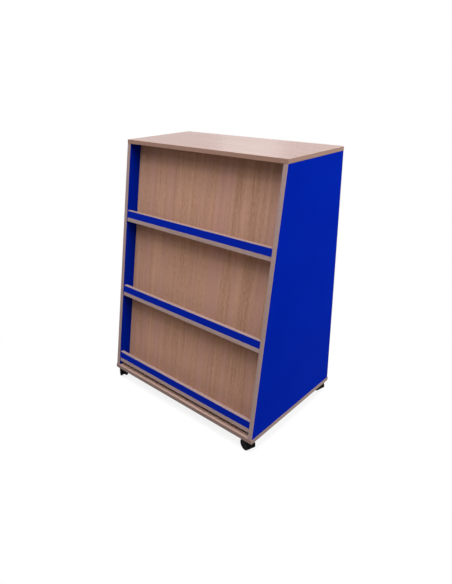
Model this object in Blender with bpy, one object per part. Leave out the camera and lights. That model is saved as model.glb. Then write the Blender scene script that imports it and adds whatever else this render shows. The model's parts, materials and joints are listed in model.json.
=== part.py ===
"""Double sided book display: two leaning shelf faces between end panels, on four twin-wheel casters.

Metres, +Z up.  The origin lies on the floor under the middle of the unit.
The front faces -Y, the rear repeats it facing +Y, and left is -X.
"""
import math

import bmesh
import bpy
from mathutils import Matrix

# Carcass
WIDTH = 0.823               # over the outer faces of the end panels
CARCASS_HEIGHT = 1.144      # underside of the base to the top surface
TOP_DEPTH = 0.420           # front to rear at the top
BOTTOM_DEPTH = 0.640        # front to rear where the end panels stand on the base
BOARD = 0.018               # thickness of every board
BASE_FRONT_OVERHANG = 0.002
BASE_SIDE_OVERHANG = 0.002

# Tiers, measured upright along the shelf fronts
LOWER_GAP = 0.022           # base top to the lower shelf's underside
LOWER_TIER = 0.338          # clear height over the lower shelf
MIDDLE_TIER = 0.353         # clear height over the middle shelf
DISPLAY_SETBACK = 0.067     # level distance from the end panels' front edges to the display face
SHELF_RECESS = 0.005        # level distance from those edges to the shelf fronts
LIP_HEIGHT = 0.034          # with its edging
LIP_THICKNESS = 0.018

# Edging and joints
EDGING = 0.002              # thickness of the edging strips
ARRIS = 0.0008              # rounding of their outer corners
ARRIS_STEPS = 2
ARRIS_SHARE = 0.45          # most of a strip's thickness that its rounding may take
GLUE_LINE = 0.0002          # between a board and its edging
JOINT_GAP = 0.0003          # between boards, plates and pins that seat on each other

# Casters
CASTER_INSET_X = 0.026      # base edge to the king pin, across
CASTER_INSET_Y = 0.027      # base edge to the king pin, front to rear
TRAIL = 0.012               # king pin to axle
WHEEL_RADIUS = 0.025
WHEEL_WIDTH = 0.0125
WHEEL_RIM = 0.0045          # wall of the wheel under its tread
WHEEL_DISC = 0.009          # thickness of the disc that closes the wheel's outer side
WHEEL_HUB_WALL = 0.0038
WHEEL_DISH = 0.0013         # depth of the dished outer face
WHEEL_DISH_LAND = 0.004     # rim left round the dish
WHEEL_SHOULDER = 0.003      # rounding between the tread and the outer face
WHEEL_CAP_RADIUS = 0.007    # raised middle of the outer face
WHEEL_CAP_RISE = 0.00065
BORE_FLOOR = 0.004          # wheel material left past the end of its bore
WHEEL_STEPS = 24
HOOD_CLEARANCE = 0.001      # wheel tread to the inside of the hood
HOOD_WALL = 0.0016
HOOD_SIDE_INSET = 0.0006    # hood edge behind the wheels' outer faces
HOOD_REAR_ANGLE = math.radians(28)
HOOD_FRONT_ANGLE = math.radians(196)
HOOD_STEPS = 14
WEB = 0.011                 # thickness of the hood's middle wall
WEB_HUB_RADIUS = 0.0068     # rounding of that wall under the axle
WEB_HUB_START = math.radians(250)
WEB_HUB_END = math.radians(330)
WEB_HUB_STEPS = 4
BOSS_WALL = 0.0022
WHEEL_SIDE_CLEARANCE = 0.0006
PIN_RADIUS = 0.004
PIN_HEAD_RADIUS = 0.006
PIN_HEAD_HEIGHT = 0.0013
PIN_REACH = 0.002           # how far the king pin ends below the level of the axle
PIN_END_CLEARANCE = 0.001
AXLE_RADIUS = 0.003
AXLE_CHAMFER = 0.0005
RUNNING_FIT = 0.00025       # radial play of a pin in its bore
SWIVEL_GAP = 0.0011         # hood top to the mounting plate
PLATE = 0.002               # thickness of the mounting plate
PLATE_SIDE = 0.042
PLATE_CORNER = 0.005        # rounding of its corners
PLATE_CORNER_STEPS = 4
PLATE_CORNER_SHARE = 0.9    # most of its half side that the rounding may take
SCREW_PITCH = 0.030
SCREW_HOLE_RADIUS = 0.0022
SCREW_SINK_RADIUS = 0.0042
PIN_STEPS = 16
SCREW_STEPS = 12

# Modelling
ROUND = 0.5                 # bevel profile of a quarter circle
WELD = 1e-6                 # points closer than this are one
SMOOTH_ANGLE = math.radians(35)

# Rest turn of each caster, the way its wheels trail
CASTERS = {
    "front_left": (-1, -1, math.radians(144)),
    "front_right": (1, -1, math.radians(164)),
    "rear_left": (-1, 1, math.radians(174)),
    "rear_right": (1, 1, math.radians(168)),
}

# Heights and slopes that follow
HOOD_INNER = WHEEL_RADIUS / math.cos(math.pi / WHEEL_STEPS) + HOOD_CLEARANCE
HOOD_OUTER = HOOD_INNER + HOOD_WALL
PLATE_UNDERSIDE = WHEEL_RADIUS + HOOD_OUTER + SWIVEL_GAP
PLATE_TOP = PLATE_UNDERSIDE + PLATE
BASE_UNDERSIDE = PLATE_TOP + JOINT_GAP
BASE_TOP = BASE_UNDERSIDE + BOARD
TOP_SURFACE = BASE_UNDERSIDE + CARCASS_HEIGHT
TOP_UNDERSIDE = TOP_SURFACE - BOARD
LEAN = math.atan2((BOTTOM_DEPTH - TOP_DEPTH) / 2, TOP_UNDERSIDE - BASE_TOP)
UP_SLOPE = (math.sin(LEAN), math.cos(LEAN))
INWARD = (math.cos(LEAN), -math.sin(LEAN))
INNER_WIDTH = WIDTH - 2 * BOARD

SIDES = {"front": 1, "rear": -1}
ENDS = {"left": -1, "right": 1}

# Linear colour, metallic, roughness
FINISHES = {
    "beech_board": ((0.52, 0.34, 0.24), 0.0, 0.45),
    "blue_board": ((0.004, 0.016, 0.36), 0.0, 0.40),
    "beech_edging": ((0.50, 0.36, 0.28), 0.0, 0.40),
    "black_nylon": ((0.012, 0.012, 0.013), 0.0, 0.45),
    "zinc_steel": ((0.55, 0.55, 0.56), 1.0, 0.35),
}


def material(finish):
    """The named finish, made once."""
    found = bpy.data.materials.get(finish)
    if found:
        return found
    colour, metallic, roughness = FINISHES[finish]
    made = bpy.data.materials.new(finish)
    made.use_nodes = True
    shader = made.node_tree.nodes["Principled BSDF"]
    shader.inputs["Base Color"].default_value = (*colour, 1.0)
    shader.inputs["Metallic"].default_value = metallic
    shader.inputs["Roughness"].default_value = roughness
    made.diffuse_color = (*colour, 1.0)
    return made


def place(name, mesh, finish, parent=None, location=(0, 0, 0), turn=0.0):
    """Add one sub-part that shows the mesh in the given finish."""
    if not mesh.materials:
        mesh.materials.append(material(finish))
    part = bpy.data.objects.new(name, mesh)
    part.parent = parent
    part.location = location
    part.rotation_euler = (0, 0, turn)
    bpy.context.collection.objects.link(part)
    return part


def to_mesh(name, body):
    """Close a bmesh into a mesh with its faces pointing out."""
    bmesh.ops.recalc_face_normals(body, faces=body.faces)
    mesh = bpy.data.meshes.new(name)
    body.to_mesh(mesh)
    body.free()
    return mesh


def round_edges(body, edges):
    """Round the given edges, within the edging's own thickness."""
    bmesh.ops.bevel(
        body, geom=edges, offset=min(ARRIS, EDGING * ARRIS_SHARE), offset_type="OFFSET",
        segments=ARRIS_STEPS, profile=ROUND, affect="EDGES")


def prism(name, outline, x0, x1, side=1, long_round=(), end_round=()):
    """Extrude a front (y, z) outline along X; side -1 mirrors it to the rear.

    long_round names outline corners whose long edges are rounded, and end_round
    names pairs of corners whose edges are rounded on both ends.
    """
    body = bmesh.new()
    count = len(outline)
    rings = [[body.verts.new((x, side * y, z)) for y, z in outline] for x in (x0, x1)]
    for ring in rings:
        body.faces.new(ring)
    for i in range(count):
        j = (i + 1) % count
        body.faces.new((rings[0][i], rings[0][j], rings[1][j], rings[1][i]))
    bmesh.ops.recalc_face_normals(body, faces=body.faces)
    chosen = [body.edges.get((rings[0][i], rings[1][i])) for i in long_round]
    chosen += [body.edges.get((ring[i], ring[j])) for ring in rings for i, j in end_round]
    if chosen:
        round_edges(body, chosen)
    return to_mesh(name, body)


def edging_ring(name, half_x, half_y, z0, z1):
    """A strip round the four edges of a level board, with its outer corners rounded."""
    body = bmesh.new()
    loops = []
    for inset, z in ((0, z0), (0, z1), (EDGING, z1), (EDGING, z0)):
        x, y = half_x - inset, half_y - inset
        corners = ((-x, -y), (x, -y), (x, y), (-x, y))
        loops.append([body.verts.new((cx, cy, z)) for cx, cy in corners])
    for k, loop in enumerate(loops):
        following = loops[(k + 1) % len(loops)]
        for i in range(4):
            j = (i + 1) % 4
            body.faces.new((loop[i], loop[j], following[j], following[i]))
    bmesh.ops.recalc_face_normals(body, faces=body.faces)
    outer = set(loops[0] + loops[1])
    round_edges(body, [e for e in body.edges if e.verts[0] in outer and e.verts[1] in outer])
    return to_mesh(name, body)


def turned(name, profile, axis, steps, start=0.0):
    """Spin a (radius, along) profile that starts and ends on the axis."""
    body = bmesh.new()
    points = []
    for radius, along in profile:
        if axis == "Z":
            spot = (radius * math.cos(start), radius * math.sin(start), along)
        else:
            spot = (radius * math.cos(start), along, -radius * math.sin(start))
        points.append(body.verts.new(spot))
    edges = [body.edges.new(pair) for pair in zip(points, points[1:])]
    direction = (0, 0, 1) if axis == "Z" else (0, 1, 0)
    bmesh.ops.spin(
        body, geom=points + edges, cent=(0, 0, 0), axis=direction,
        angle=2 * math.pi, steps=steps, use_merge=True)
    bmesh.ops.remove_doubles(body, verts=body.verts, dist=WELD)
    return to_mesh(name, body)


def rod(name, radius, start, end, axis):
    """A plain round bar along an axis."""
    return turned(name, ((0, start), (radius, start), (radius, end), (0, end)), axis, PIN_STEPS)


def combine(mesh, tool, operation, at=(0, 0, 0)):
    """Join or cut a mesh with a tool mesh set at a place, and return the result."""
    target = bpy.data.objects.new("target", mesh)
    cutter = bpy.data.objects.new("cutter", tool)
    cutter.location = at
    for helper in (target, cutter):
        helper.hide_render = True
        helper.display_type = "WIRE"
        bpy.context.collection.objects.link(helper)
    change = target.modifiers.new(operation, "BOOLEAN")
    change.operation = operation
    change.solver = "EXACT"
    change.object = cutter
    bpy.context.view_layer.update()
    graph = bpy.context.evaluated_depsgraph_get()
    result = bpy.data.meshes.new_from_object(target.evaluated_get(graph))
    for helper in (target, cutter):
        bpy.data.objects.remove(helper)
    return result


def shade_round(mesh):
    """Shade a round piece smooth, with its corners kept sharp."""
    mesh.shade_smooth()
    mesh.set_sharp_from_angle(angle=SMOOTH_ANGLE)
    return mesh


def front_y(z):
    """Y of the end panels' front edges at a height."""
    return -BOTTOM_DEPTH / 2 + (z - BASE_TOP) * math.tan(LEAN)


def along(start, slope=0.0, inward=0.0):
    """A (y, z) point up the leaning face and in towards the middle from a start point."""
    return (
        start[0] + slope * UP_SLOPE[0] + inward * INWARD[0],
        start[1] + slope * UP_SLOPE[1] + inward * INWARD[1],
    )


def level_board(name, half_x, half_y, z0, z1):
    """A level beech board and the edging round it; the half sizes include the edging."""
    core = EDGING + GLUE_LINE
    y = half_y - core
    outline = ((-y, z0), (y, z0), (y, z1), (-y, z1))
    board = prism(f"{name}_panel", outline, -half_x + core, half_x - core)
    place(f"{name}_panel", board, "beech_board")
    place(f"{name}_edging", edging_ring(f"{name}_edging", half_x, half_y, z0, z1), "beech_edging")


def end_panels():
    """Two tapering blue end panels with beech edging on their sloping edges."""
    low = BASE_TOP + JOINT_GAP
    high = TOP_UNDERSIDE - JOINT_GAP
    strip = EDGING / math.cos(LEAN)
    core = (EDGING + GLUE_LINE) / math.cos(LEAN)
    panel = [(front_y(low) + core, low), (front_y(high) + core, high)]
    panel += [(-y, z) for y, z in reversed(panel)]
    edging = (
        (front_y(low), low), (front_y(low) + strip, low),
        (front_y(high) + strip, high), (front_y(high), high))
    for end, sign in ENDS.items():
        x0, x1 = sorted((sign * WIDTH / 2, sign * INNER_WIDTH / 2))
        name = f"{end}_end_panel"
        place(name, prism(name, panel, x0, x1), "blue_board")
        for face, side in SIDES.items():
            name = f"{end}_end_{face}_edging"
            mesh = prism(name, edging, x0, x1, side, end_round=((0, 3),))
            place(name, mesh, "beech_edging")


def display_panels():
    """The leaning panels that the books stand against, cut level at top and bottom."""
    low = BASE_TOP + JOINT_GAP
    high = TOP_UNDERSIDE - JOINT_GAP
    thick = BOARD / math.cos(LEAN)
    half = INNER_WIDTH / 2 - JOINT_GAP
    outline = (
        (front_y(low) + DISPLAY_SETBACK, low), (front_y(low) + DISPLAY_SETBACK + thick, low),
        (front_y(high) + DISPLAY_SETBACK + thick, high), (front_y(high) + DISPLAY_SETBACK, high))
    for face, side in SIDES.items():
        name = f"{face}_display_panel"
        place(name, prism(name, outline, -half, half, side), "beech_board")


def shelf_levels():
    """Height of each shelf's top front corner."""
    upright = BOARD * math.cos(LEAN)
    lower = BASE_TOP + LOWER_GAP + upright
    middle = lower + LOWER_TIER + upright
    upper = middle + MIDDLE_TIER + upright
    return {"lower": lower, "middle": middle, "upper": upper}


def tier(face, side, level, z):
    """One shelf square to the display panel, its edging, and the edged lip on its front."""
    half = INNER_WIDTH / 2 - JOINT_GAP
    corner = (front_y(z) + SHELF_RECESS, z)
    depth = (DISPLAY_SETBACK - SHELF_RECESS) * math.cos(LEAN) - JOINT_GAP
    core = EDGING + GLUE_LINE
    lip_core = LIP_HEIGHT - core
    lip_top = LIP_HEIGHT - EDGING

    def slab(inward0, inward1, slope0, slope1):
        """Corners from the lower front, round the front, top and back."""
        return (
            along(corner, slope0, inward0), along(corner, slope1, inward0),
            along(corner, slope1, inward1), along(corner, slope0, inward1))

    pieces = (
        ("shelf", slab(core, depth, -BOARD, 0), "beech_board", ()),
        ("shelf_edging", slab(0, EDGING, -BOARD, 0), "beech_edging", (0, 1)),
        ("lip", slab(0, LIP_THICKNESS, JOINT_GAP, lip_core), "blue_board", ()),
        ("lip_edging", slab(0, LIP_THICKNESS, lip_top, LIP_HEIGHT), "beech_edging", (1, 2)),
    )
    for kind, outline, finish, rounded in pieces:
        name = f"{face}_{level}_{kind}"
        place(name, prism(name, outline, -half, half, side, long_round=rounded), finish)


def arc(radius, start, end, steps):
    """Points on a circle round the axle, from one angle to another."""
    turn = (end - start) / steps
    return [(radius * math.cos(start + k * turn), radius * math.sin(start + k * turn))
            for k in range(steps + 1)]


def across(name, outline, width):
    """Extrude an (x, z) side outline to both sides of the caster's middle."""
    mesh = prism(name, outline, -width / 2, width / 2)
    for vertex in mesh.vertices:
        x, y, z = vertex.co
        vertex.co = (y, -x, z)
    return mesh


def boss_radius():
    """Outside of the hood's king pin socket."""
    return PIN_RADIUS + RUNNING_FIT + BOSS_WALL


def rim_inner_face():
    """Distance from the caster's middle to the wheels' inner rims."""
    return boss_radius() + WHEEL_SIDE_CLEARANCE


def wheel_outer_face():
    """Distance from the caster's middle to the wheels' outer faces."""
    return rim_inner_face() + WHEEL_WIDTH


def hood_mesh():
    """Moulded body: a hood over both wheels, a middle wall and the king pin socket."""
    middle = HOOD_INNER + HOOD_WALL / 2
    hood_outline = arc(HOOD_OUTER, HOOD_REAR_ANGLE, HOOD_FRONT_ANGLE, HOOD_STEPS)
    hood_outline += arc(HOOD_INNER, HOOD_FRONT_ANGLE, HOOD_REAR_ANGLE, HOOD_STEPS)
    wall_outline = arc(middle, HOOD_REAR_ANGLE, HOOD_FRONT_ANGLE, HOOD_STEPS)
    wall_outline += arc(WEB_HUB_RADIUS, WEB_HUB_START, WEB_HUB_END, WEB_HUB_STEPS)
    top = PLATE_UNDERSIDE - JOINT_GAP - WHEEL_RADIUS
    floor = -PIN_REACH - PIN_END_CLEARANCE
    boss = boss_radius()
    bore = PIN_RADIUS + RUNNING_FIT
    wall_bore = AXLE_RADIUS + JOINT_GAP
    socket = rod("socket", boss, floor - BOSS_WALL, top, "Z")
    socket_bore = rod("socket_bore", bore, floor, top + PLATE, "Z")
    axle_bore = rod("axle_bore", wall_bore, -WEB, WEB, "Y")
    body = across("hood", hood_outline, 2 * (wheel_outer_face() - HOOD_SIDE_INSET))
    body = combine(body, across("wall", wall_outline, WEB), "UNION")
    body = combine(body, socket, "UNION", (-TRAIL, 0, 0))
    body = combine(body, socket_bore, "DIFFERENCE", (-TRAIL, 0, 0))
    body = combine(body, axle_bore, "DIFFERENCE")
    return shade_round(body)


def wheel_mesh():
    """One moulded wheel, hollow on its inner side, with a blind bore for the axle."""
    hub_face = WEB / 2 + JOINT_GAP
    inner = rim_inner_face()
    outer = wheel_outer_face()
    bore = AXLE_RADIUS + RUNNING_FIT
    hub = bore + WHEEL_HUB_WALL
    rim = WHEEL_RADIUS - WHEEL_RIM
    hollow_floor = outer - WHEEL_DISC
    dish = outer - WHEEL_DISH
    dish_edge = WHEEL_RADIUS - WHEEL_SHOULDER - WHEEL_DISH_LAND
    half_shoulder = WHEEL_SHOULDER * (1 - math.cos(math.pi / 4))
    cap = dish + WHEEL_CAP_RISE
    flat = [
        (0, outer - BORE_FLOOR), (bore, outer - BORE_FLOOR), (bore, hub_face), (hub, hub_face),
        (hub, hollow_floor), (rim, hollow_floor), (rim, inner), (WHEEL_RADIUS, inner),
        (WHEEL_RADIUS, outer - WHEEL_SHOULDER),
        (WHEEL_RADIUS - half_shoulder, outer - half_shoulder),
        (WHEEL_RADIUS - WHEEL_SHOULDER, outer), (dish_edge, outer),
        (dish_edge - WHEEL_DISH, dish), (WHEEL_CAP_RADIUS, dish),
        (WHEEL_CAP_RADIUS - WHEEL_CAP_RISE, cap), (0, cap),
    ]
    widen = 1 / math.cos(math.pi / WHEEL_STEPS)
    profile = [(radius * widen, y) for radius, y in flat]
    return shade_round(turned("wheel", profile, "Y", WHEEL_STEPS, math.pi / WHEEL_STEPS))


def axle_mesh():
    """Plain steel axle pressed through the hood's middle wall."""
    half = wheel_outer_face() - BORE_FLOOR - JOINT_GAP
    small = AXLE_RADIUS - AXLE_CHAMFER
    profile = (
        (0, -half), (small, -half), (AXLE_RADIUS, -half + AXLE_CHAMFER),
        (AXLE_RADIUS, half - AXLE_CHAMFER), (small, half), (0, half))
    return shade_round(turned("axle", profile, "Y", PIN_STEPS))


def pin_profile(play=0.0):
    """King pin from its countersunk head down, widened by a play for the hole round it."""
    end = WHEEL_RADIUS - PIN_REACH
    neck = PLATE_TOP - PIN_HEAD_HEIGHT
    shaft = PIN_RADIUS + play
    head = PIN_HEAD_RADIUS + play
    return (
        (0, PLATE_TOP), (head, PLATE_TOP), (shaft, neck),
        (shaft, end + AXLE_CHAMFER), (shaft - AXLE_CHAMFER, end), (0, end))


def plate_mesh():
    """Square mounting plate with round corners, four countersunk screw holes and the pin hole."""
    corner = min(PLATE_CORNER, PLATE_SIDE / 2 * PLATE_CORNER_SHARE)
    middle = Matrix.Translation((0, 0, PLATE_UNDERSIDE + PLATE / 2))
    body = bmesh.new()
    bmesh.ops.create_cube(
        body, size=1.0, matrix=middle @ Matrix.Diagonal((PLATE_SIDE, PLATE_SIDE, PLATE, 1.0)))
    uprights = [e for e in body.edges if abs(e.verts[0].co.z - e.verts[1].co.z) > PLATE / 2]
    bmesh.ops.bevel(
        body, geom=uprights, offset=corner, offset_type="OFFSET",
        segments=PLATE_CORNER_STEPS, profile=ROUND, affect="EDGES")
    mesh = to_mesh("plate", body)
    mesh = combine(mesh, turned("pin_hole", pin_profile(JOINT_GAP), "Z", PIN_STEPS), "DIFFERENCE")
    below = PLATE_UNDERSIDE - PLATE
    above = PLATE_TOP + PLATE
    neck = PLATE_UNDERSIDE + SCREW_SINK_RADIUS - SCREW_HOLE_RADIUS
    hole = (
        (0, below), (SCREW_SINK_RADIUS + PLATE, below), (SCREW_HOLE_RADIUS, neck),
        (SCREW_HOLE_RADIUS, above), (0, above))
    for sx in (-1, 1):
        for sy in (-1, 1):
            spot = (sx * SCREW_PITCH / 2, sy * SCREW_PITCH / 2, 0)
            mesh = combine(mesh, turned("screw_hole", hole, "Z", SCREW_STEPS), "DIFFERENCE", spot)
    return mesh


def casters():
    """Four twin-wheel swivel casters near the corners of the base."""
    plate, hood, axle, wheel = plate_mesh(), hood_mesh(), axle_mesh(), wheel_mesh()
    pin = shade_round(turned("king_pin", pin_profile(), "Z", PIN_STEPS))
    reach_x = WIDTH / 2 + BASE_SIDE_OVERHANG - CASTER_INSET_X
    reach_y = BOTTOM_DEPTH / 2 + BASE_FRONT_OVERHANG - CASTER_INSET_Y
    axle_at = (TRAIL, 0, WHEEL_RADIUS)
    for corner, (sx, sy, rest) in CASTERS.items():
        name = f"{corner}_caster"
        swivel = bpy.data.objects.new(f"{name}_swivel", None)
        swivel.location = (sx * reach_x, sy * reach_y, 0)
        swivel.rotation_euler = (0, 0, rest)
        bpy.context.collection.objects.link(swivel)
        place(f"{name}_plate", plate, "zinc_steel", location=swivel.location)
        place(f"{name}_king_pin", pin, "zinc_steel", location=swivel.location)
        place(f"{name}_hood", hood, "black_nylon", swivel, axle_at)
        place(f"{name}_axle", axle, "zinc_steel", swivel, axle_at)
        place(f"{name}_left_wheel", wheel, "black_nylon", swivel, axle_at)
        place(f"{name}_right_wheel", wheel, "black_nylon", swivel, axle_at, math.pi)


def main():
    """Build every sub-part from an empty scene."""
    for old in list(bpy.data.objects):
        bpy.data.objects.remove(old)
    level_board("top", WIDTH / 2, TOP_DEPTH / 2, TOP_UNDERSIDE, TOP_SURFACE)
    level_board(
        "base", WIDTH / 2 + BASE_SIDE_OVERHANG, BOTTOM_DEPTH / 2 + BASE_FRONT_OVERHANG,
        BASE_UNDERSIDE, BASE_TOP)
    end_panels()
    display_panels()
    for face, side in SIDES.items():
        for level, z in shelf_levels().items():
            tier(face, side, level, z)
    casters()


main()
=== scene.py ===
"""Looks of the double sided book display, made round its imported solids.

Boards and edging strips become finely rounded pieces with a grain of their own, the casters get
their moulded forms and screws, and each surface has a finish made of nodes.
Metres, +Z up.  The front faces -Y, the rear repeats it facing +Y, and left is -X.
"""
import json
import math

import bmesh
import bpy
import numpy as np
from mathutils import Matrix, Vector

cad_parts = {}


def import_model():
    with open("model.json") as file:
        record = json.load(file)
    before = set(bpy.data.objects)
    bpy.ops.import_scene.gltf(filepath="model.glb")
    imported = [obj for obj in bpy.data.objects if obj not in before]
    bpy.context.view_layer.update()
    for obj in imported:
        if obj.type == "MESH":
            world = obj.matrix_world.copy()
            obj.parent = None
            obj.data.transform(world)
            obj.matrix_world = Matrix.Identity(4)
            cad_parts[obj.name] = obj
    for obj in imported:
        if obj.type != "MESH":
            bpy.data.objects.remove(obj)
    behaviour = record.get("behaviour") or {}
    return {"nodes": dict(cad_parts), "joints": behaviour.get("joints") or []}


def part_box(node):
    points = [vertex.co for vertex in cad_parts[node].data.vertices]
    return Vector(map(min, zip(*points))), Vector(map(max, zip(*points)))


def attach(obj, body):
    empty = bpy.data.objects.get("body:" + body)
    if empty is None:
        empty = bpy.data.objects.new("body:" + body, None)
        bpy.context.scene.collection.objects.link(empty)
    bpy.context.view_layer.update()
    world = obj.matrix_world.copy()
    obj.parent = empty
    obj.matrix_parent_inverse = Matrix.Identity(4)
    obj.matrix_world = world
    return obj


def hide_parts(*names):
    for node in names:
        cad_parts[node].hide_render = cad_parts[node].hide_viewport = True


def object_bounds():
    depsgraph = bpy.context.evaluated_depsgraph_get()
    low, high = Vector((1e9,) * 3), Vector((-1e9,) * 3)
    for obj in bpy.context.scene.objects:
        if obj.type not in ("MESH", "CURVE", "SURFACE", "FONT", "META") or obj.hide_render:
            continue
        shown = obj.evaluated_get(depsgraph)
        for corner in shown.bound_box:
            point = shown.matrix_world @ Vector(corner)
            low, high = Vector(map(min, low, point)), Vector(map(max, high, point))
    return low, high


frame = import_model()
CAD_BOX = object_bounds()

# The object's own order
FACES = {"front": 1, "rear": -1}
ENDS = ("left", "right")
LEVELS = ("lower", "middle", "upper")
CORNERS = ("front_left", "front_right", "rear_left", "rear_right")
JOINTS = {joint["name"]: joint for joint in frame["joints"]}

# Boards and strips
BOARD_ARRIS = 0.00025       # rounding of a faced board's corners
STRIP_ARRIS = 0.0009        # rounding of a strip's outer corners
STRIP_INNER = 0.00008       # rounding where a strip is glued or cut off
GLUE_LINE = 0.0002          # between a board and its strip
ROUND_STEPS = 4             # facets of a rounded corner
TOUCH = 1e-6                # points closer than this are one
SMOOTH_ANGLE = math.radians(40)

# Grain: how far it moves along and across from each piece to the next, and the number at which
# each group of pieces starts
GRAIN_SHIFT = np.array([1.7, 0.9])
LEVEL_BOARD_GRAIN = 3
LEVEL_EDGING_GRAIN = (11, 16)
END_PANEL_GRAIN = 21
DISPLAY_PANEL_GRAIN = 31
END_EDGING_GRAIN = (41, 43)
SHELF_GRAIN = (51, 63)
SHELF_PIECES = 4            # shelf, lip and their two strips

# Caster hood
HOOD_STEPS = 60             # rings along the cover
HOOD_WALL = 0.0016
HOOD_REAR = math.radians(28)    # where the cover starts and ends round the axle
HOOD_FRONT = math.radians(196)
HOOD_EDGE = 0.0006
WEB = 0.011                 # thickness of the wall between the wheels
WEB_EDGE = 0.0005
WEB_STEPS = 30
WEB_HUB_RADIUS = 0.0068
WEB_HUB_START = math.radians(250)
WEB_HUB_END = math.radians(330)
WEB_HUB_STEPS = 8
SOCKET_RADIUS = 0.00645
SOCKET_BORE = 0.00425
SOCKET_FLOOR = 0.0022
SOCKET_ROUNDS = (0.0012, 0.0004, 0.0003, 0.0002)
PIN_REACH = 0.003           # the socket's floor below the axle
PLATE_GAP = 0.0003          # the socket's rim to the plate
AXLE_BORE = 0.0033
BORE_STEPS = 48

# Caster wheels: depths are behind the outer face
WHEEL_STEPS = 96
RIM_SHARE = 0.9             # what lies past this share of the radius is the rim
CAP_RADIUS = 0.0062
CAP_FOOT = 0.0068
CAP_DEPTH = 0.0006
DISH_RADIUS = 0.0164
DISH_RIM = 0.0178
DISH_DEPTH = 0.0013
TYRE = 0.0045               # from the tread in to the hollow
HOLLOW_DEPTH = 0.009
HUB_RADIUS = 0.00705
HUB_END = 0.0058            # from the caster's middle
HUB_BORE = 0.00325
HUB_BORE_DEPTH = 0.004
WHEEL_ROUNDS = (
    0.0004, 0.0003, 0.0006, 0.0006, 0.003, 0.0012,
    0.0004, 0.0008, 0.0008, 0.0003, 0.0002, 0.0001)

# Plate screws
SCREW_PITCH = 0.030
SCREW_HEAD = 0.0039
SCREW_SHANK = 0.0019
SCREW_LENGTH = 0.014
SCREW_SINK = 0.00015        # the head's face behind the plate's
SCREW_STEPS = 72
SCREW_RINGS = 30
RECESS_ARM = 0.0022         # half length of the cross recess
RECESS_WIDTH = 0.00055      # half width of its arms
RECESS_SLOPE = 0.25         # its walls spread by this share of the half width, either way
RECESS_TAPER = 0.35         # the arms get shallower over this share of their length
RECESS_DEPTH = 0.0011

# Camera, fitted to the photograph
IMAGE = (452, 584)
CAMERA_AT = (1.3270, -1.7915, 1.4968)
CAMERA_TURN = math.radians(46.040)
CAMERA_TILT = math.radians(-19.498)
CAMERA_ROLL = math.radians(-0.804)
FOCAL_PIXELS = 507.9
AXIS_PIXEL = (144.2, 249.9)
SENSOR = 36.0

# Stage
WHITE = (1.0, 1.0, 1.0, 1.0)
FLOOR_SIZE = 14.0
FLOOR_TONE = (0.218, 0.172, 0.128, 1.0)  # what the warm pale floor throws back on the object
FLOOR_PALE = (0.95, 0.95, 0.95, 1.0)     # what shows of it in the object's shadow
SHADOW_SHARE = 0.15         # how much of the floor's own shading shows under the object
SHADOW_REACH = (0.5, 1.3)   # distances from the middle over which the floor turns white
AMBIENT = 0.03
LAMPS = {                   # place, size and power
    "overhead_light": ((0.95, -0.90, 6.10), 2.2, 165.0),
    "high_front_light": ((0.2, -2.40, 5.70), 2.2, 160.0),
    "front_light": ((0.2, -3.60, 4.75), 2.2, 92.0),
    "low_front_light": ((0.0, -5.25, 2.55), 2.2, 23.0),
    "right_front_light": ((3.70, -1.35, 4.20), 2.2, 68.0),
    "right_light": ((3.5, 0.8, 1.5), 2.4, 66.0),
    "rear_light": ((0.6, 3.6, 2.3), 2.4, 125.0),
    "left_light": ((-3.5, 0.4, 1.9), 2.2, 75.0),
    "low_rear_light": ((-2.0, 3.1, 2.35), 0.7, 2.4),
}


# The solids' own directions
def vertices(node):
    """All corner points of a CAD node, one per row."""
    mesh = frame["nodes"][node].data
    points = np.empty(len(mesh.vertices) * 3)
    mesh.vertices.foreach_get("co", points)
    return points.reshape(-1, 3)


def foot_and_head(points):
    """The Y values of the lowest points and of the highest ones."""
    low, high = points[:, 2].min(), points[:, 2].max()
    return points[points[:, 2] < low + TOUCH, 1], points[points[:, 2] > high - TOUCH, 1]


def lean():
    """Tangent of the angle at which the faces lean back, from a display panel's two ends."""
    points = vertices("front_display_panel")
    foot, head = foot_and_head(points)
    return (head.min() - foot.min()) / (points[:, 2].max() - points[:, 2].min())


LEAN = lean()
LEVEL_AXES = np.eye(3)
SIDEWAYS_AXES = np.array([(0, 1, 0), (1, 0, 0), (0, 0, 1)])


def square_axes(face):
    """Rows of the frame square to a leaning face: along X, up the slope, and outwards."""
    angle = math.atan(LEAN)
    side = FACES[face]
    up = (0, side * math.sin(angle), math.cos(angle))
    out = (0, -side * math.cos(angle), math.sin(angle))
    return np.array([(1, 0, 0), up, out])


def level_cut_axes(face):
    """Rows of the sheared frame of a leaning board cut level: up the slope, along X, along Y."""
    return np.array([(0, FACES[face] * LEAN, 1), (1, 0, 0), (0, 1, 0)])


def box_along(node, axes):
    """Lowest and highest values of a CAD node along three axes, which may be sheared."""
    points = vertices(node) @ np.linalg.inv(axes)
    return points.min(0), points.max(0)


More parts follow.
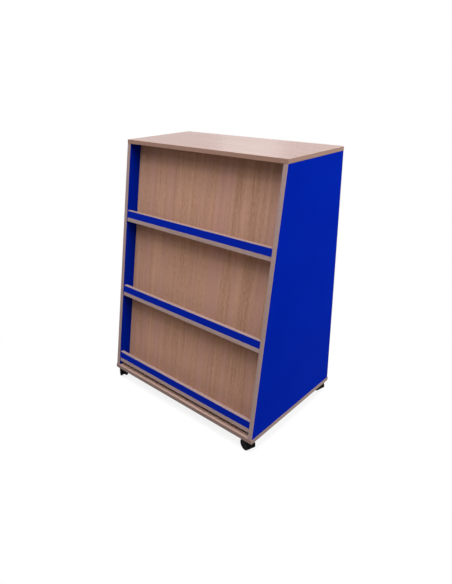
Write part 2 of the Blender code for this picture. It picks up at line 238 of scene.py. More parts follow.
# Surfaces
def skin(name, grid, lay=None, capped=False):
    """A mesh over a grid of points: each cell is a face, and points that meet are welded.

    lay is the (u, v) of each grid point, in metres.  A capped grid's first and last columns
    are closed by flat faces.
    """
    rows, columns = grid.shape[:2]
    index = np.arange(rows * columns).reshape(rows, columns)
    cells = np.stack([index[:-1, :-1], index[1:, :-1], index[1:, 1:], index[:-1, 1:]], -1)
    faces = cells.reshape(-1, 4).tolist()
    if capped:
        faces += [index[:-1, 0].tolist(), index[:-1, -1].tolist()]
    mesh = bpy.data.meshes.new(name)
    mesh.from_pydata(grid.reshape(-1, 3).tolist(), [], faces)
    if lay is not None:
        corner = np.empty(len(mesh.loops), dtype=np.int32)
        mesh.loops.foreach_get("vertex_index", corner)
        uv = lay.reshape(-1, 2)[corner]
        mesh.uv_layers.new(name="lay").data.foreach_set("uv", uv.astype(np.float32).ravel())
    body = bmesh.new()
    body.from_mesh(mesh)
    bmesh.ops.remove_doubles(body, verts=body.verts, dist=TOUCH)
    bmesh.ops.dissolve_degenerate(body, edges=body.edges, dist=TOUCH)
    bmesh.ops.recalc_face_normals(body, faces=body.faces)
    body.to_mesh(mesh)
    body.free()
    return mesh


def rounded_prism(outline, start, end, radii, end_radii=None, rings=1):
    """Points of a prism with rounded corners: a grid over (round the outline, along its length).

    Each point is the centre of a corner's rounding plus its radius times a direction.  The
    direction turns from one side's normal to the next round the outline, and swings from one
    end's normal to the other's along the length.  Rows are (along, across, up).
    """
    outline = np.asarray(outline, float)
    radii = np.broadcast_to(np.asarray(radii, float), len(outline))
    edge = np.roll(outline, -1, 0) - outline
    if (outline[:, 0] * edge[:, 1] - outline[:, 1] * edge[:, 0]).sum() < 0:
        outline, radii = outline[::-1], radii[::-1]
        edge = np.roll(outline, -1, 0) - outline
    after = np.stack([edge[:, 1], -edge[:, 0]], 1) / np.linalg.norm(edge, axis=1)[:, None]
    before = np.roll(after, 1, 0)
    spread = 1 + (after * before).sum(1)
    centre = outline - radii[:, None] * (after + before) / spread[:, None]
    first = np.arctan2(before[:, 1], before[:, 0])
    turn = np.arctan2(before[:, 0] * after[:, 1] - before[:, 1] * after[:, 0], spread - 1)
    step = np.linspace(0, 1, ROUND_STEPS + 1)
    angle = (first[:, None] + turn[:, None] * step).ravel()
    corner = np.repeat(np.arange(len(outline)), ROUND_STEPS + 1)
    angle = np.append(angle, angle[0])
    corner = np.append(corner, 0)

    quarter = np.linspace(0, math.pi / 2, ROUND_STEPS + 1)
    swing = np.concatenate([quarter - math.pi / 2, np.zeros(rings - 1), quarter])
    share = np.concatenate([0 * quarter, np.arange(1, rings) / rings, 0 * quarter + 1])
    radius = radii[corner][:, None]
    reach = radius if end_radii is None else np.minimum(radius, end_radii)
    along = start + reach + (end - start - 2 * reach) * share + reach * np.sin(swing)
    out = radius * np.cos(swing)
    across = centre[corner, 0][:, None] + out * np.cos(angle)[:, None]
    up = centre[corner, 1][:, None] + out * np.sin(angle)[:, None]
    return np.stack([along, across, up], -1)


def rounded_path(corners, radii):
    """A line through corner points with each inner corner turned into an arc of its radius.

    An arc's centre lies on the corner's bisector, its radius over the sine of half the angle
    away, and its points turn evenly from where it leaves one side to where it meets the next.
    """
    corners = np.asarray(corners, float)
    radii = np.asarray(radii, float)[:, None]
    spot = corners[1:-1]
    back = corners[:-2] - spot
    ahead = corners[2:] - spot
    back /= np.linalg.norm(back, axis=1)[:, None]
    ahead /= np.linalg.norm(ahead, axis=1)[:, None]
    half = np.arccos(np.clip((back * ahead).sum(1), -1, 1))[:, None] / 2
    bisector = (back + ahead) / np.linalg.norm(back + ahead, axis=1)[:, None]
    centre = spot + bisector * radii / np.sin(half)
    begin = spot + back * radii / np.tan(half) - centre
    end = spot + ahead * radii / np.tan(half) - centre
    sweep = (math.pi - 2 * half)[:, None]
    step = np.linspace(0, 1, ROUND_STEPS + 1)[None, :, None]
    arc = np.sin((1 - step) * sweep) * begin[:, None] + np.sin(step * sweep) * end[:, None]
    arc = centre[:, None] + arc / np.sin(sweep)
    return np.concatenate([corners[:1], arc.reshape(-1, 2), corners[-1:]])


def turned(profile, axis, steps):
    """A (radius, along) profile carried round an axis, as a grid over (turn, profile).

    A point is its radius times the turn's cosine and sine, and stays at its place along the axis.
    """
    turn = np.linspace(0, 2 * math.pi, steps + 1)[:, None]
    radius, along = profile[:, 0][None], profile[:, 1][None] + 0 * turn
    if axis == "Z":
        return np.stack([radius * np.cos(turn), radius * np.sin(turn), along], -1)
    return np.stack([radius * np.cos(turn), along, -radius * np.sin(turn)], -1)


def rectangle(low, high):
    """Corners of the cross-section between two (across, up) points."""
    return [(low[0], low[1]), (high[0], low[1]), (high[0], high[1]), (low[0], high[1])]


def grain_lay(points, number):
    """(u, v) of each point in metres: u runs along the piece, v across it, shifted by number."""
    lay = np.stack([points[..., 0], points[..., 1] + points[..., 2]], -1)
    return lay + GRAIN_SHIFT * number


def joined(name, meshes):
    """Several closed meshes as one."""
    body = bmesh.new()
    for mesh in meshes:
        body.from_mesh(mesh)
        bpy.data.meshes.remove(mesh)
    made = bpy.data.meshes.new(name)
    body.to_mesh(made)
    body.free()
    return made


def combine(mesh, tool, operation):
    """Join or cut a mesh with a tool mesh, and return the result."""
    target = bpy.data.objects.new("target", mesh)
    cutter = bpy.data.objects.new("cutter", tool)
    for helper in (target, cutter):
        bpy.context.scene.collection.objects.link(helper)
    change = target.modifiers.new(operation, "BOOLEAN")
    change.operation = operation
    change.object = cutter
    bpy.context.view_layer.update()
    graph = bpy.context.evaluated_depsgraph_get()
    result = bpy.data.meshes.new_from_object(target.evaluated_get(graph))
    for helper in (target, cutter):
        bpy.data.objects.remove(helper)
    return result


def piece(name, mesh, body, material, nodes=()):
    """Show a mesh as a piece that rides on a body and stands for CAD nodes."""
    mesh.materials.clear()
    mesh.materials.append(material)
    mesh.shade_smooth()
    mesh.set_sharp_from_angle(angle=SMOOTH_ANGLE)
    made = bpy.data.objects.new(name, mesh)
    bpy.context.scene.collection.objects.link(made)
    flats = made.modifiers.new("flat_faces", "WEIGHTED_NORMAL")
    flats.keep_sharp = True
    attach(made, body)
    if nodes:
        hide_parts(*nodes)


# Shader values and nodes
class Wire:
    """One socket of a node tree; arithmetic on it adds Math nodes to the same tree."""

    def __init__(self, nodes, socket):
        self.nodes = nodes
        self.socket = socket

    def math(self, operation, other, reflected=False):
        """A Math node of this wire and another wire or number, which comes first if reflected."""
        first, second = (other, self) if reflected else (self, other)
        return self.nodes.add("Math", {"operation": operation}, {0: first, 1: second})

    def __add__(self, other):
        return self.math("ADD", other)

    def __radd__(self, other):
        return self.math("ADD", other, reflected=True)

    def __sub__(self, other):
        return self.math("SUBTRACT", other)

    def __rsub__(self, other):
        return self.math("SUBTRACT", other, reflected=True)

    def __mul__(self, other):
        return self.math("MULTIPLY", other)

    def __rmul__(self, other):
        return self.math("MULTIPLY", other, reflected=True)


class Nodes:
    """A node tree that is filled by one method."""

    def __init__(self, tree):
        self.tree = tree

    def add(self, kind, settings=None, sockets=None, output=0):
        """A node of a kind: its settings first, then a value or a wire for each of its inputs."""
        made = self.tree.nodes.new(f"ShaderNode{kind}")
        for key, value in (settings or {}).items():
            if key == "stops":
                self.set_stops(made.color_ramp, value)
            else:
                setattr(made, key, value)
        self.feed(made, sockets or {})
        return Wire(self, made.outputs[output])

    def feed(self, made, sockets):
        """Set or link the inputs of a node that is there already."""
        for key, value in sockets.items():
            if isinstance(value, Wire):
                self.tree.links.new(value.socket, made.inputs[key])
            else:
                made.inputs[key].default_value = value

    @staticmethod
    def set_stops(ramp, stops):
        """Give a colour ramp its (place, colour) stops."""
        while len(ramp.elements) < len(stops):
            ramp.elements.new(1.0)
        for element, (place, tone) in zip(ramp.elements, stops):
            element.position = place
            element.color = tone

    def place(self):
        """Where a point of the surface is in its piece."""
        return self.add("TexCoord", output="Object")

    def lay(self, way):
        """The surface's own u, which is X, or v, which is Y."""
        both = self.add("UVMap", {"uv_map": "lay"})
        return self.add("SeparateXYZ", None, {0: both}, output=way)

    def vector(self, x=0.0, y=0.0, z=0.0):
        """Three values or wires as a vector."""
        return self.add("CombineXYZ", None, {0: x, 1: y, 2: z})

    def noise(self, place, scale=1.0, detail=2.0):
        """Soft noise between 0 and 1 at a place."""
        return self.add("TexNoise", None, {"Vector": place, "Scale": scale, "Detail": detail})

    def between(self, value, low, high):
        """0 below low, 1 above high, and a smooth rise between them."""
        return self.add("MapRange", {"interpolation_type": "SMOOTHSTEP"}, {
            "Value": value, "From Min": low, "From Max": high})

    def mix(self, first, second, factor):
        """One colour laid over another."""
        return self.add("Mix", {"data_type": "RGBA"}, {0: factor, 6: first, 7: second}, output=2)

    def ramp(self, value, stops):
        """A colour picked by a value."""
        return self.add("ValToRGB", {"stops": stops}, {"Fac": value})

    def bump(self, height, distance, strength):
        """A normal that follows a height given in shares of a distance."""
        return self.add("Bump", None, {
            "Height": height, "Distance": distance, "Strength": strength})


def colour(red, green, blue):
    """An 8-bit display colour as linear light, opaque."""
    shares = np.array([red, green, blue]) / 255
    light = np.where(shares <= 0.04045, shares / 12.92, ((shares + 0.055) / 1.055) ** 2.4)
    return (*light, 1.0)


def sway(noise, reach):
    """A noise between 0 and 1 as a change of half a reach either way."""
    return (noise - 0.5) * reach


def finish(name, fixed):
    """A new material, its nodes, and its shader with the values that are the same all over."""
    made = bpy.data.materials.new(name)
    made.use_nodes = True
    nodes = Nodes(made.node_tree)
    shader = made.node_tree.nodes["Principled BSDF"]
    nodes.feed(shader, fixed)
    return made, nodes, shader


# Finishes
MELAMINE_IOR = 1.5
MELAMINE_RELIEF = 0.00003   # height of the facing's texture
BLUE_GLEAM = 0.002
BLUE_ROUGH = 0.46
NYLON = {"IOR": 1.53, "Specular IOR Level": 0.025}
NYLON_BLACK = (0.0011, 0.0011, 0.0012, 1.0)
NYLON_DUSTY = (0.0034, 0.0033, 0.0032, 1.0)
NYLON_WORN = (0.0045, 0.0043, 0.0042, 1.0)
MOULDING_ROUGH = 0.42
MOULDING_RELIEF = 0.00004
WHEEL_ROUGH = 0.36
WHEEL_RELIEF = 0.00005
TREAD_FADE = (0.001, 0.0015)    # how far the tread's wear fades outside and inside its edges
ZINC_BRIGHT = (0.60, 0.61, 0.63, 1.0)
ZINC_STRAW = (0.66, 0.62, 0.52, 1.0)
ZINC_DULL = (0.48, 0.49, 0.51, 1.0)
ZINC_ROUGH = 0.26
ZINC_RELIEF = 0.00002
ZINC_LINES = (60.0, 2600.0, 60.0)   # waves in a metre of the drawn lines


def beech(name, pale, middle, deep, blush, streak, rough, gleam):
    """Printed beech grain: wandering bands, streaks and fibres along u, with short dark flecks."""
    made, nodes, shader = finish(name, {"IOR": MELAMINE_IOR, "Specular IOR Level": gleam})
    u, v = nodes.lay("X"), nodes.lay("Y")
    across = v + sway(nodes.noise(nodes.vector(u * 1.6, v * 7.0), detail=1.0), 0.020)

    def grain(along, sideways, depth=0.0, detail=2.0):
        """Noise with so many waves in a metre along and across, at a depth of its own."""
        return nodes.noise(nodes.vector(u * along, across * sideways, depth), detail=detail)

    bands = grain(0.5, 24.0)
    streaks = grain(2.8, 64.0, 3.0)
    ticks = grain(52.0, 190.0, 5.0)
    fibres = grain(16.0, 430.0, 7.0)
    flecks = grain(110.0, 1700.0, 11.0, detail=1.0)
    warmth = grain(0.7, 22.0, 17.0)
    tone = sway(bands, 0.50) + sway(streaks, 0.66) + sway(ticks, 0.60) + sway(fibres, 0.45)
    face = nodes.ramp(0.5 + tone * streak, [(0.22, deep), (0.5, middle), (0.78, pale)])
    face = nodes.mix(face, blush, nodes.between(warmth, 0.40, 0.65) * 0.6)
    fleck = nodes.between(flecks, 0.60, 0.70)
    face = nodes.mix(face, deep, fleck * 0.30)
    pearl = nodes.noise(nodes.place(), scale=1400.0, detail=1.0)
    rough = rough + sway(fibres, 0.12) + fleck * 0.08 + sway(pearl, 0.06)
    relief = fibres * 0.5 + pearl * 0.6 - fleck * 0.8
    nodes.feed(shader, {
        "Base Color": face, "Roughness": rough,
        "Normal": nodes.bump(relief, MELAMINE_RELIEF, 0.35)})
    return made


def blue_melamine(name, deep, even, bright):
    """Even blue facing with a fine pearl texture, faint clouding and faint rubbed patches."""
    made, nodes, shader = finish(name, {"IOR": MELAMINE_IOR, "Specular IOR Level": BLUE_GLEAM})
    place = nodes.place()
    cloud = nodes.noise(place, scale=5.0)
    speck = nodes.noise(place, scale=900.0)
    pearl = nodes.noise(place, scale=1500.0, detail=1.0)
    rubbed = nodes.between(nodes.noise(place, scale=11.0, detail=4.0), 0.5, 0.75)
    face = nodes.mix(deep, even, cloud)
    face = nodes.mix(face, bright, nodes.between(speck, 0.55, 0.75) * 0.35)
    rough = BLUE_ROUGH + sway(pearl, 0.10) - rubbed * 0.05
    relief = pearl + speck * 0.5
    nodes.feed(shader, {
        "Base Color": face, "Roughness": rough,
        "Normal": nodes.bump(relief, MELAMINE_RELIEF, 0.4)})
    return made


def black_nylon():
    """Moulded nylon: near black, a spark-eroded grain, and a little grey where it is handled."""
    made, nodes, shader = finish("black_nylon_moulding", NYLON)
    place = nodes.place()
    grain = nodes.noise(place, scale=2600.0)
    dust = nodes.between(nodes.noise(place, scale=160.0, detail=3.0), 0.5, 0.8)
    face = nodes.mix(NYLON_BLACK, NYLON_DUSTY, dust)
    rough = MOULDING_ROUGH + sway(grain, 0.2) + dust * 0.15
    nodes.feed(shader, {
        "Base Color": face, "Roughness": rough,
        "Normal": nodes.bump(grain, MOULDING_RELIEF, 0.5)})
    return made


def wheel_nylon(tread_start, tread_end):
    """Nylon of the wheels, with a greyer and rougher tread, scuffed in rings."""
    made, nodes, shader = finish("black_nylon_wheel", NYLON)
    place = nodes.place()
    v = nodes.lay("Y")
    outside, inside = TREAD_FADE
    tread = nodes.between(v, tread_start - outside, tread_start + inside)
    tread = tread * (1 - nodes.between(v, tread_end - inside, tread_end + outside))
    rings = nodes.noise(nodes.vector(v * 2400.0), detail=3.0)
    grain = nodes.noise(place, scale=2200.0)
    patches = nodes.noise(place, scale=240.0, detail=3.0)
    worn = tread * nodes.between(patches * 0.6 + rings * 0.4, 0.40, 0.62)
    face = nodes.mix(NYLON_BLACK, NYLON_WORN, worn)
    rough = WHEEL_ROUGH + sway(grain, 0.16) + worn * 0.25
    relief = grain * 0.5 + tread * rings * 0.7
    nodes.feed(shader, {
        "Base Color": face, "Roughness": rough,
        "Normal": nodes.bump(relief, WHEEL_RELIEF, 0.5)})
    return made


def zinc():
    """Bright zinc plate: fine crystals, drawn lines and a faint straw tint in places."""
    made, nodes, shader = finish("zinc_plate", {"Metallic": 1.0})
    place = nodes.place()
    cells = nodes.add("TexVoronoi", None, {"Vector": place, "Scale": 900.0}, output="Color")
    crystal = nodes.add("SeparateColor", None, {0: cells})
    lines = nodes.noise(nodes.add("Mapping", None, {"Vector": place, "Scale": ZINC_LINES}))
    tint = nodes.between(nodes.noise(place, scale=90.0), 0.4, 0.7)
    face = nodes.mix(ZINC_BRIGHT, ZINC_STRAW, tint * 0.4)
    face = nodes.mix(face, ZINC_DULL, crystal * 0.35)
    rough = ZINC_ROUGH + crystal * 0.10 + sway(lines, 0.2)
    nodes.feed(shader, {
        "Base Color": face, "Roughness": rough,
        "Normal": nodes.bump(lines, ZINC_RELIEF, 0.4)})
    return made


# Boards and strips
def prism_piece(node, axes, outline, span, radii, material, number, ends=None):
    """A board or strip in a CAD node's place: a rounded prism with its grain along its length."""
    points = rounded_prism(outline, *span, radii, ends)
    name = f"{node}_finished"
    mesh = skin(name, points @ axes, grain_lay(points, number), capped=True)
    piece(name, mesh, "carcass", material, [node])


def box_piece(node, axes, radii, material, number, ends=None):
    """A board or strip that fills a CAD node's box along the given axes."""
    low, high = box_along(node, axes)
    outline = rectangle(low[1:], high[1:])
    prism_piece(node, axes, outline, (low[0], high[0]), radii, material, number, ends)


def end_panel(end, material, number):
    """A tapering end panel: its four (y, z) corners are those at its foot and at its head."""
    node = f"{end}_end_panel"
    points = vertices(node)
    low, high = points.min(0), points.max(0)
    foot, head = foot_and_head(points)
    outline = [
        (foot.min(), low[2]), (foot.max(), low[2]), (head.max(), high[2]), (head.min(), high[2])]
    span = (low[0], high[0])
    prism_piece(node, LEVEL_AXES, outline, span, BOARD_ARRIS, material, number)


def edging_round(board, material, number):
    """Four strips glued round a level board, the long ones over the ends of the short ones."""
    node = f"{board}_edging"
    low, high = box_along(node, LEVEL_AXES)
    core_high = box_along(f"{board}_panel", LEVEL_AXES)[1]
    strip = high[1] - core_high[1] - GLUE_LINE
    radii = (STRIP_ARRIS, STRIP_ARRIS, STRIP_INNER, STRIP_INNER)
    # the axis across a strip, its own axes, its length and the rounding of its ends
    long_run = (1, LEVEL_AXES, (low[0], high[0]), None)
    short_run = (0, SIDEWAYS_AXES, (low[1] + strip, high[1] - strip), STRIP_INNER)
    meshes = []
    for k, side in enumerate((-1, 1)):
        for shift, (across, axes, span, ends) in ((0, long_run), (2, short_run)):
            outer = high[across] if side > 0 else low[across]
            inner = outer - side * strip
            outline = [(outer, low[2]), (outer, high[2]), (inner, high[2]), (inner, low[2])]
            points = rounded_prism(outline, *span, radii, ends)
            lay = grain_lay(points, number + k + shift)
            meshes.append(skin("strip", points @ axes, lay, capped=True))
    piece(f"{node}_finished", joined(node, meshes), "carcass", material, [node])


def boards_and_strips():
    """Every board and strip of the carcass, each with its own stretch of grain."""
    board = beech(
        "beech_melamine", colour(187, 147, 125), colour(172, 133, 111), colour(150, 113, 92),
        colour(175, 134, 124), streak=1.0, rough=0.34, gleam=0.08)
    # Painted shade: the top is a darker copy of the board's beech, which keeps it from rendering
    # too bright where the lamps light it from above.
    top = beech(
        "beech_melamine_top_painted_shade", colour(150, 119, 109), colour(137, 107, 97), colour(120, 90, 80),
        colour(143, 113, 106), streak=0.6, rough=0.24, gleam=0.13)
    # Painted light: the base is a paler, glossier copy of the board's beech, for the light that
    # falls on its top.
    base = beech(
        "beech_melamine_base_painted_light", colour(178, 150, 139), colour(165, 137, 126),
        colour(148, 120, 109), colour(167, 139, 131), streak=0.7, rough=0.28, gleam=0.2)
    # Painted light: the shelves are a paler copy of the board's beech, so that they throw more
    # light up onto the displays above the lips.
    shelf = beech(
        "beech_melamine_shelf_painted_light", colour(204, 164, 142), colour(189, 149, 127),
        colour(168, 130, 108), colour(191, 151, 139), streak=1.0, rough=0.34, gleam=0.08)
    edging = beech(
        "beech_edging_strip", colour(161, 140, 137), colour(150, 129, 126), colour(131, 110, 106),
        colour(153, 131, 131), streak=0.7, rough=0.34, gleam=0.2)
    # Painted shade: the top's strips are a darker, warmer copy of the edging.
    top_edging_painted_shade = beech(
        "beech_edging_top_painted_shade", colour(156, 124, 109), colour(145, 113, 98), colour(127, 96, 82),
        colour(148, 116, 104), streak=0.7, rough=0.34, gleam=0.2)
    # Painted shade: the base's strips are a darker copy of the edging, for the dimmer light low
    # down.
    base_edging_painted_shade = beech(
        "beech_edging_base_painted_shade", colour(142, 119, 112), colour(131, 108, 101), colour(114, 92, 85),
        colour(134, 111, 106), streak=0.7, rough=0.34, gleam=0.2)
    blue = blue_melamine(
        "blue_melamine", colour(0, 30, 157), colour(0, 35, 169), colour(6, 44, 183))
    # Painted shade: the lips are a darker copy of the end panels' blue, for the lesser light on
    # their fronts.
    lip_blue_painted_shade = blue_melamine(
        "blue_melamine_lips_painted_shade", colour(6, 30, 147), colour(7, 35, 159), colour(13, 44, 173))

    outer, inner = STRIP_ARRIS, STRIP_INNER
    # The top and base take the painted copies above: the top and both boards' strips painted
    # shade, the base painted light.
    level_boards = (("top", top, top_edging_painted_shade), ("base", base, base_edging_painted_shade))
    for k, (name, facing, rim) in enumerate(level_boards):
        number = LEVEL_BOARD_GRAIN + k
        box_piece(f"{name}_panel", LEVEL_AXES, BOARD_ARRIS, facing, number)
        edging_round(name, rim, LEVEL_EDGING_GRAIN[k])
    for k, end in enumerate(ENDS):
        end_panel(end, blue, END_PANEL_GRAIN + k)
    for j, (face, side) in enumerate(FACES.items()):
        square = square_axes(face)
        cut = level_cut_axes(face)
        # rounding of an end's strip towards -Y and towards +Y
        front, back = (outer, inner) if side > 0 else (inner, outer)
        number = DISPLAY_PANEL_GRAIN + j
        box_piece(f"{face}_display_panel", cut, BOARD_ARRIS, board, number)
        for k, end in enumerate(ENDS):
            box_piece(
                f"{end}_end_{face}_edging", cut, (front, front, back, back),
                edging, END_EDGING_GRAIN[j] + k, inner)
        for k, level in enumerate(LEVELS):
            name = f"{face}_{level}"
            number = SHELF_GRAIN[j] + SHELF_PIECES * k
            # the shelves in their paler copy of the beech, which is painted light
            box_piece(f"{name}_shelf", square, BOARD_ARRIS, shelf, number)
            # the lips in their darker copy of the blue, which is painted shade
            box_piece(f"{name}_lip", square, BOARD_ARRIS, lip_blue_painted_shade, number + 1)
            box_piece(
                f"{name}_shelf_edging", square, (inner, inner, outer, outer),
                edging, number + 2, inner)
            box_piece(
                f"{name}_lip_edging", square, (inner, outer, outer, inner),
                edging, number + 3, inner)


# Casters, made round the middle of the axle with x along the trail and y along the axle
def caster_axes(corner):
    """Rows of a caster's frame, trail, axle and up, with its axle's middle and its pin's place."""
    pin = np.array(JOINTS[f"{corner}_swivel"]["pos_m"])
    axle = np.array(JOINTS[f"{corner}_left_wheel_spin"]["pos_m"])
    trail = (axle - pin) * (1, 1, 0)
    trail /= np.linalg.norm(trail)
    up = np.array([0, 0, 1.0])
    return np.stack([trail, np.cross(up, trail), up]), axle, pin


def placed(mesh, axes, origin, name):
    """A copy of a mesh made in a caster's frame, set in the object's frame."""
    made = mesh.copy()
    made.name = name
    turn = Matrix(axes.T.tolist()).to_4x4()
    made.transform(Matrix.Translation(origin.tolist()) @ turn)
    return made


def wheel_profile(inner, outer, radius):
    """(radius, along) of a wheel from the middle of its outer face round to its bore's floor."""
    cap, dish = outer - CAP_DEPTH, outer - DISH_DEPTH
    hollow, floor = outer - HOLLOW_DEPTH, outer - HUB_BORE_DEPTH
    return rounded_path([
        (0, cap), (CAP_RADIUS, cap), (CAP_FOOT, dish), (DISH_RADIUS, dish), (DISH_RIM, outer),
        (radius, outer), (radius, inner), (radius - TYRE, inner), (radius - TYRE, hollow),
        (HUB_RADIUS, hollow), (HUB_RADIUS, HUB_END), (HUB_BORE, HUB_END), (HUB_BORE, floor),
        (0, floor)], WHEEL_ROUNDS)


def wheel_mesh(inner, outer, radius):
    """One wheel, turned about the axle, and where its tread starts along its profile.

    Its (u, v) are the way round its turn and the way along its profile.
    """
    profile = wheel_profile(inner, outer, radius)
    grid = turned(profile, "Y", WHEEL_STEPS)
    length = np.append(0, np.cumsum(np.linalg.norm(np.diff(profile, axis=0), axis=1)))
    turn = np.linspace(0, 2 * math.pi * radius, WHEEL_STEPS + 1)
    lay = np.stack(np.meshgrid(turn, length, indexing="ij"), -1)
    return skin("wheel", grid, lay), length[np.argmax(profile[:, 0] >= radius - TOUCH)]


def arc_points(radius, start, end, steps):
    """Points of an arc round the axle, as (x, z): the radius times the angle's cosine and sine."""
    angle = np.linspace(start, end, steps + 1)
    return np.stack([radius * np.cos(angle), radius * np.sin(angle)], 1)


def bore_profile(radius, low, high):
    """(radius, along) of a plain cylinder, the tool that cuts a round hole."""
    return np.array([(0, low), (radius, low), (radius, high), (0, high)])


def hood_mesh(inner_radius, half_width, top, pin_trail):
    """The moulded body: a bent cover over the wheels, a middle wall and the king pin's socket.

    The cover is a straight prism wrapped round the axle, where its length over its middle radius
    is the angle.  The wall is a prism between an arc of the cover and an arc below the axle, with
    the axle's bore through it.  The socket is a turned cup in a seat that is cut for it.
    """
    middle = inner_radius + HOOD_WALL / 2
    section = rectangle((inner_radius, -half_width), (inner_radius + HOOD_WALL, half_width))
    cover = rounded_prism(
        section, middle * HOOD_REAR, middle * HOOD_FRONT, HOOD_EDGE, rings=HOOD_STEPS)
    length, radius, across = np.moveaxis(cover, -1, 0)
    angle = length / middle
    bent = np.stack([radius * np.cos(angle), across, radius * np.sin(angle)], -1)
    outline = np.concatenate([
        arc_points(middle, HOOD_REAR, HOOD_FRONT, WEB_STEPS),
        arc_points(WEB_HUB_RADIUS, WEB_HUB_START, WEB_HUB_END, WEB_HUB_STEPS)])
    wall = rounded_prism(outline, -WEB / 2, WEB / 2, WEB_EDGE)
    wall = np.stack([wall[..., 1], wall[..., 0], wall[..., 2]], -1)
    floor = -PIN_REACH
    under = floor - SOCKET_FLOOR
    cup = rounded_path(
        [(0, under), (SOCKET_RADIUS, under), (SOCKET_RADIUS, top), (SOCKET_BORE, top),
         (SOCKET_BORE, floor), (0, floor)], SOCKET_ROUNDS)
    seat = bore_profile((SOCKET_RADIUS + SOCKET_BORE) / 2, (under + floor) / 2, 2 * top)
    axle = bore_profile(AXLE_BORE, -WEB, WEB)
    pin = np.array([-pin_trail, 0, 0])
    body = skin("cover", bent, capped=True)
    body = combine(body, skin("wall", wall, capped=True), "UNION")
    body = combine(body, skin("axle_bore", turned(axle, "Y", BORE_STEPS)), "DIFFERENCE")
    body = combine(body, skin("seat", turned(seat, "Z", BORE_STEPS) + pin), "DIFFERENCE")
    return combine(body, skin("socket", turned(cup, "Z", BORE_STEPS) + pin), "UNION")


def screw_points():
    """A countersunk screw facing down: a cross recess pressed into its face, over (turn, profile).

    The recess's depth at a point is a ramp over the walls of two crossed arms, times the root of
    a ramp towards the arms' ends.  Behind the rim a cone runs to the shank.
    """
    cone = SCREW_HEAD - SCREW_SHANK
    radius = np.concatenate([
        np.linspace(0, SCREW_HEAD, SCREW_RINGS), [SCREW_SHANK, SCREW_SHANK, 0]])
    height = np.concatenate([np.zeros(SCREW_RINGS), [cone, SCREW_LENGTH - cone, SCREW_LENGTH]])
    turn = np.linspace(0, 2 * math.pi, SCREW_STEPS + 1)[:, None]
    x, y = radius * np.cos(turn), radius * np.sin(turn)
    near, far = np.minimum(abs(x), abs(y)), np.maximum(abs(x), abs(y))
    wall = RECESS_WIDTH * (1 + RECESS_SLOPE) - near
    arm = np.clip(wall / (RECESS_WIDTH * 2 * RECESS_SLOPE), 0, 1)
    reach = np.clip((RECESS_ARM - far) / (RECESS_ARM * RECESS_TAPER), 0, 1)
    sunk = RECESS_DEPTH * arm * np.sqrt(reach)
    head = np.arange(len(radius)) < SCREW_RINGS
    return np.stack([x, y, height + np.where(head, sunk, 0)], -1)


def plate_screws(corner, pin, screw, steel):
    """The four screws of a caster's plate, on a square round its king pin."""
    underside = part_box(f"{corner}_caster_plate")[0].z + SCREW_SINK
    half = SCREW_PITCH / 2
    spots = [(pin[0] + sx * half, pin[1] + sy * half) for sx in (-1, 1) for sy in (-1, 1)]
    screws = [skin("screw", screw + (*spot, underside)) for spot in spots]
    piece(
        f"{corner}_caster_plate_screws", joined("screws", screws), "carcass", steel)


def casters():
    """Wheels, hoods and plate screws of the four casters, and the finish of their steel pieces."""
    nylon, steel = black_nylon(), zinc()
    axes, axle, pin = caster_axes(CORNERS[0])
    wheel_radius = axle[2]
    solid = (vertices(f"{CORNERS[0]}_caster_left_wheel") - axle) @ axes.T
    outer = abs(solid[:, 1]).max()
    rim = abs(solid[np.hypot(solid[:, 0], solid[:, 2]) > RIM_SHARE * wheel_radius, 1])
    wheel, tread_start = wheel_mesh(rim.min(), outer, wheel_radius)
    tread = wheel_nylon(tread_start, tread_start + outer - rim.min())
    cover = (vertices(f"{CORNERS[0]}_caster_hood") - axle) @ axes.T
    cover = cover[abs(cover[:, 1]) > abs(cover[:, 1]).max() - TOUCH]
    hood = hood_mesh(
        np.hypot(cover[:, 0], cover[:, 2]).max() - HOOD_WALL, abs(cover[:, 1]).max(),
        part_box(f"{CORNERS[0]}_caster_plate")[0].z - PLATE_GAP - axle[2],
        np.linalg.norm((axle - pin)[:2]))
    screw = screw_points()
    for corner in CORNERS:
        axes, axle, pin = caster_axes(corner)
        for hand, flip in (("left", 1), ("right", -1)):
            node = f"{corner}_caster_{hand}_wheel"
            # the right wheel is the left one, half a turn round the upright
            turned_axes = axes * np.array([[flip], [flip], [1]])
            piece(
                f"{node}_moulding", placed(wheel, turned_axes, axle, node),
                f"{corner}_{hand}_wheel", tread, [node])
        node = f"{corner}_caster_hood"
        piece(
            f"{node}_moulding", placed(hood, axes, axle, node), f"{corner}_caster",
            nylon, [node])
        plate_screws(corner, pin, screw, steel)
        for kind in ("plate", "king_pin", "axle"):
            materials = frame["nodes"][f"{corner}_caster_{kind}"].data.materials
            materials.clear()
            materials.append(steel)


# Stage
def camera():
    """The photograph's camera, with the lens shifted so that its axis meets the right pixel."""
    data = bpy.data.cameras.new("camera")
    longest = max(IMAGE)
    data.sensor_width = SENSOR
    data.lens = FOCAL_PIXELS * SENSOR / longest
    data.shift_x = (IMAGE[0] / 2 - AXIS_PIXEL[0]) / longest
    data.shift_y = (AXIS_PIXEL[1] - IMAGE[1] / 2) / longest
    made = bpy.data.objects.new("camera", data)
    turn = (
        Matrix.Rotation(CAMERA_TURN, 4, "Z") @ Matrix.Rotation(math.pi / 2 + CAMERA_TILT, 4, "X")
        @ Matrix.Rotation(CAMERA_ROLL, 4, "Z"))
    made.matrix_world = Matrix.Translation(CAMERA_AT) @ turn
    bpy.context.scene.collection.objects.link(made)
    bpy.context.scene.camera = made


def seen(nodes):
    """1 for what the camera sees itself, in a mirror or through glass, and 0 for other light."""
    straight, mirrored, through = [
        nodes.add("LightPath", output=f"Is {kind} Ray")
        for kind in ("Camera", "Glossy", "Transmission")]
    return straight.math("MAXIMUM", mirrored).math("MAXIMUM", through)


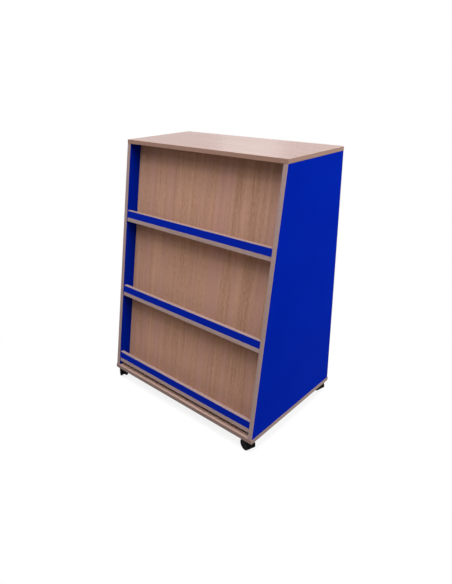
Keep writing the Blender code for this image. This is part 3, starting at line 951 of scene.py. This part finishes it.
def world():
    """White where it is seen, and an even soft light elsewhere."""
    made = bpy.data.worlds.new("world")
    made.use_nodes = True
    bpy.context.scene.world = made
    nodes = Nodes(made.node_tree)
    strength = AMBIENT + seen(nodes) * (1 - AMBIENT)
    nodes.feed(made.node_tree.nodes["Background"], {"Color": WHITE, "Strength": strength})


def floor():
    """A pale floor that shows white, with the object's soft shadow kept."""
    made = bpy.data.materials.new("pale_floor")
    made.use_nodes = True
    tree = made.node_tree
    nodes = Nodes(tree)
    tree.nodes.remove(tree.nodes["Principled BSDF"])
    matt = nodes.add("BsdfDiffuse", None, {"Color": FLOOR_TONE})
    pale = nodes.add("BsdfDiffuse", None, {"Color": FLOOR_PALE})
    white = nodes.add("Emission", None, {"Color": WHITE, "Strength": 1.0})
    distance = nodes.add(
        "VectorMath", {"operation": "LENGTH"}, {0: nodes.place()}, output="Value")
    shade = SHADOW_SHARE * (1 - nodes.between(distance, *SHADOW_REACH))
    shown = nodes.add("MixShader", None, {0: shade, 1: white, 2: pale})
    mixed = nodes.add("MixShader", None, {0: seen(nodes), 1: matt, 2: shown})
    nodes.feed(tree.nodes["Material Output"], {"Surface": mixed})
    half = FLOOR_SIZE / 2
    corners = np.array([
        [(-half, -half, 0), (-half, half, 0)], [(half, -half, 0), (half, half, 0)]])
    mesh = skin("floor", corners)
    mesh.materials.append(made)
    ground = bpy.data.objects.new("floor", mesh)
    bpy.context.scene.collection.objects.link(ground)


def lamps():
    """Soft lamps, each aimed at the middle of the object.

    The small low one at the rear lays a sheen on the top.
    """
    low, high = CAD_BOX
    middle = (low + high) / 2
    for name, (spot, size, power) in LAMPS.items():
        data = bpy.data.lights.new(name, "AREA")
        data.size = size
        data.energy = power
        made = bpy.data.objects.new(name, data)
        made.location = spot
        made.rotation_euler = (middle - Vector(spot)).to_track_quat("-Z", "Y").to_euler()
        bpy.context.scene.collection.objects.link(made)


boards_and_strips()
casters()
camera()
world()
floor()
lamps()
bpy.context.scene.view_settings.view_transform = "Standard"
